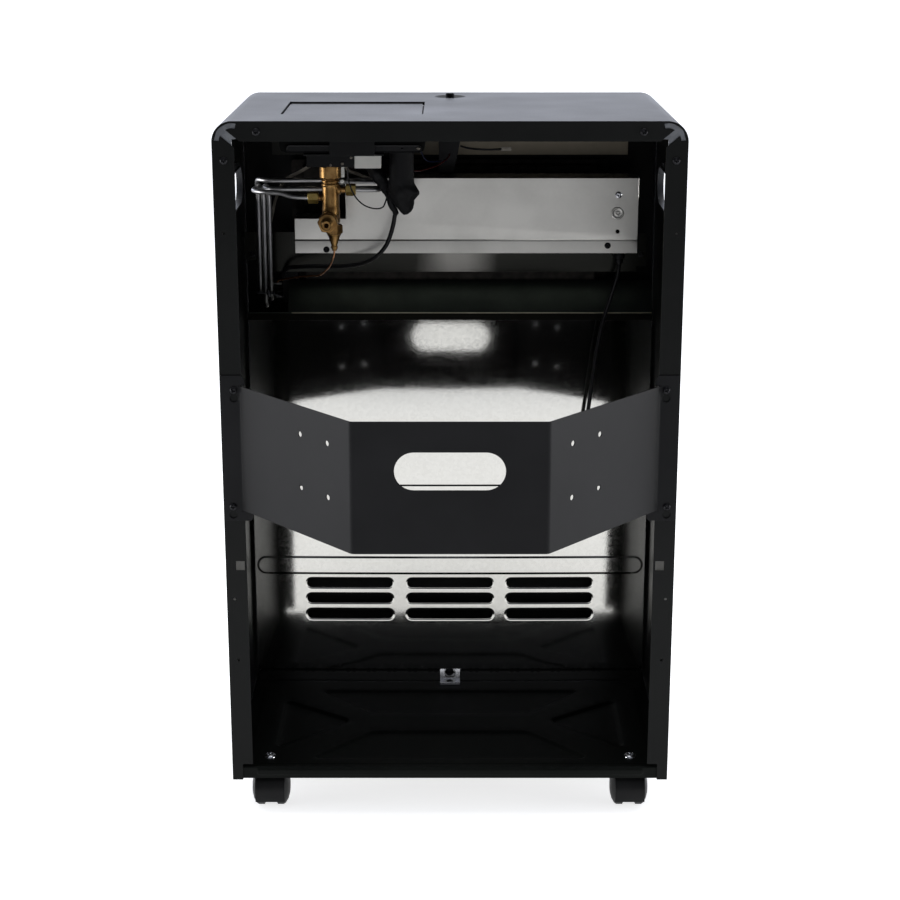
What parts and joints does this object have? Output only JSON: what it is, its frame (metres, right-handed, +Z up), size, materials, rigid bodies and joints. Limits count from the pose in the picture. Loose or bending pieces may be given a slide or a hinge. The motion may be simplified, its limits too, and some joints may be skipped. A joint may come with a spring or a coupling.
{
  "type": "portable gas cabinet heater",
  "caption": "Wheeled steel cabinet heater with an open rear bay for a gas cylinder, a bolted-on bottle restraint, a radiant burner behind a wire guard and a lidded control recess in the top.",
  "frame": {"origin": "centre of the overall box in plan, on the floor under the casters", "axes": "+Z up; -Y towards the burner window, +Y towards the open rear and the bottle restraint; +X to the right of a user facing the heater"},
  "size_m": [0.46, 0.427, 0.736],
  "materials": {
    "black_case": "semi-gloss black powder coat on folded steel sheet, fine orange peel",
    "black_bracket": "satin black coated steel",
    "black_guard": "satin charcoal black powder coat on steel strip",
    "black_base": "semi-gloss black powder coat on pressed steel",
    "galvanised": "zinc coated steel with a soft mottled grain",
    "galvanised_panel": "bright zinc coated steel, nearly mirror-like, with fine spangle",
    "galvanised_dark": "zinc coated steel in shade, dulled by heat",
    "aluminium_tube": "drawn aluminium tube with a bright skin",
    "brass": "machined and cast brass, lightly tarnished",
    "brass_nut": "bright turned brass",
    "copper": "thin drawn copper capillary",
    "black_plastic": "moulded black plastic, fine texture",
    "hood_plastic": "moulded black nylon",
    "grey_plastic": "moulded dark grey plastic",
    "white_plastic": "moulded off-white plastic",
    "black_rubber": "soft black rubber",
    "lead_black": "flexible black sheath, satin",
    "screw_black": "blackened steel pan head screw",
    "chrome_wire": "chrome plated steel wire",
    "ceramic": "perforated cream ceramic tile",
    "spindle_steel": "plain bright steel",
    "wheel_plastic": "hard black nylon tread"
  },
  "bodies": {
    "cabinet": {"case_wrap": "black_case", "front_fascia": "black_case", "front_lower_panel": "black_case", "valve_bracket": "black_bracket", "injector_block": "black_bracket", "base_plate": "black_base", "corner_bracket_right": "galvanised", "corner_bracket_left": "galvanised", "base_clip": "galvanised", "burner_back_plate": "galvanised", "burner_box": "galvanised", "inner_front_panel": "galvanised_panel", "burner_body": "galvanised_dark", "burner_shelf": "galvanised_dark", "front_heat_shield": "galvanised_dark", "burner_frame": "galvanised_dark", "gas_tube_right": "aluminium_tube", "gas_tube_left": "aluminium_tube", "gas_tube_pilot": "aluminium_tube", "gas_valve_body": "brass", "inlet_nozzle": "brass", "magnet_unit": "brass", "outlet_nut_right": "brass_nut", "outlet_nut_left": "brass_nut", "thermocouple_lead": "copper", "control_tray": "black_plastic", "piezo_igniter": "black_plastic", "button_housing": "black_plastic", "cable_gland": "black_plastic", "side_grip_right": "grey_plastic", "side_grip_left": "grey_plastic", "terminal_block": "white_plastic", "lead_grommet": "black_rubber", "supply_lead": "lead_black", "igniter_lead": "lead_black", "restraint_screw_upper_right": "screw_black", "restraint_screw_lower_right": "screw_black", "restraint_screw_upper_left": "screw_black", "restraint_screw_lower_left": "screw_black", "guard_grille": "chrome_wire", "ceramic_plaque_left": "ceramic", "ceramic_plaque_centre": "ceramic", "ceramic_plaque_right": "ceramic", "flap_hinge_pin": "spindle_steel", "pilot_burner": "spindle_steel"},
    "control_flap": {"control_flap": "black_case"},
    "valve_spindle": {"valve_spindle": "spindle_steel"},
    "gas_knob": {"gas_knob": "black_plastic"},
    "piezo_button": {"piezo_button": "black_plastic"},
    "top_button": {"top_button": "black_plastic"},
    "bottle_restraint": {"bottle_restraint": "black_guard"},
    "caster_hood_rear_right": {"caster_hood_rear_right": "hood_plastic"},
    "caster_wheels_rear_right": {"caster_wheels_rear_right": "wheel_plastic"},
    "caster_hood_rear_left": {"caster_hood_rear_left": "hood_plastic"},
    "caster_wheels_rear_left": {"caster_wheels_rear_left": "wheel_plastic"},
    "caster_hood_front_right": {"caster_hood_front_right": "hood_plastic"},
    "caster_wheels_front_right": {"caster_wheels_front_right": "wheel_plastic"},
    "caster_hood_front_left": {"caster_hood_front_left": "hood_plastic"},
    "caster_wheels_front_left": {"caster_wheels_front_left": "wheel_plastic"}
  },
  "joints": [
    {"name": "flap_hinge", "type": "hinge", "parent": "cabinet", "child": "control_flap", "pos_m": [0.0975, -0.105, 0.7276], "axis": [1, 0, 0], "range_deg": [0, 100]},
    {"name": "knob_push", "type": "slide", "parent": "cabinet", "child": "valve_spindle", "axis": [0, 0, -1], "range_m": [0, 0.004], "stiffness_N_per_m": 900, "springref_m": -0.003},
    {"name": "knob_turn", "type": "hinge", "parent": "valve_spindle", "child": "gas_knob", "pos_m": [0.124, -0.0455, 0.706], "axis": [0, 0, 1], "range_deg": [0, 240]},
    {"name": "piezo_push", "type": "slide", "parent": "cabinet", "child": "piezo_button", "axis": [0, 0, -1], "range_m": [0, 0.006], "stiffness_N_per_m": 700, "springref_m": -0.003},
    {"name": "top_button_push", "type": "slide", "parent": "cabinet", "child": "top_button", "axis": [0, 0, -1], "range_m": [0, 0.003], "stiffness_N_per_m": 500, "springref_m": -0.002},
    {"name": "restraint_lift", "type": "slide", "parent": "cabinet", "child": "bottle_restraint", "axis": [0, 0, 1], "range_m": [0, 0.0083]},
    {"name": "swivel_rear_right", "type": "hinge", "parent": "cabinet", "child": "caster_hood_rear_right", "pos_m": [0.192, 0.0365, 0.045], "axis": [0, 0, 1], "continuous": true},
    {"name": "roll_rear_right", "type": "hinge", "parent": "caster_hood_rear_right", "child": "caster_wheels_rear_right", "pos_m": [0.192, 0.0485, 0.02], "axis": [1, 0, 0], "continuous": true},
    {"name": "swivel_rear_left", "type": "hinge", "parent": "cabinet", "child": "caster_hood_rear_left", "pos_m": [-0.192, 0.0365, 0.045], "axis": [0, 0, 1], "continuous": true},
    {"name": "roll_rear_left", "type": "hinge", "parent": "caster_hood_rear_left", "child": "caster_wheels_rear_left", "pos_m": [-0.192, 0.0485, 0.02], "axis": [1, 0, 0], "continuous": true},
    {"name": "swivel_front_right", "type": "hinge", "parent": "cabinet", "child": "caster_hood_front_right", "pos_m": [0.192, -0.1785, 0.045], "axis": [0, 0, 1], "continuous": true},
    {"name": "roll_front_right", "type": "hinge", "parent": "caster_hood_front_right", "child": "caster_wheels_front_right", "pos_m": [0.192, -0.1665, 0.02], "axis": [1, 0, 0], "continuous": true},
    {"name": "swivel_front_left", "type": "hinge", "parent": "cabinet", "child": "caster_hood_front_left", "pos_m": [-0.192, -0.1785, 0.045], "axis": [0, 0, 1], "continuous": true},
    {"name": "roll_front_left", "type": "hinge", "parent": "caster_hood_front_left", "child": "caster_wheels_front_left", "pos_m": [-0.192, -0.1665, 0.02], "axis": [1, 0, 0], "continuous": true}
  ]
}
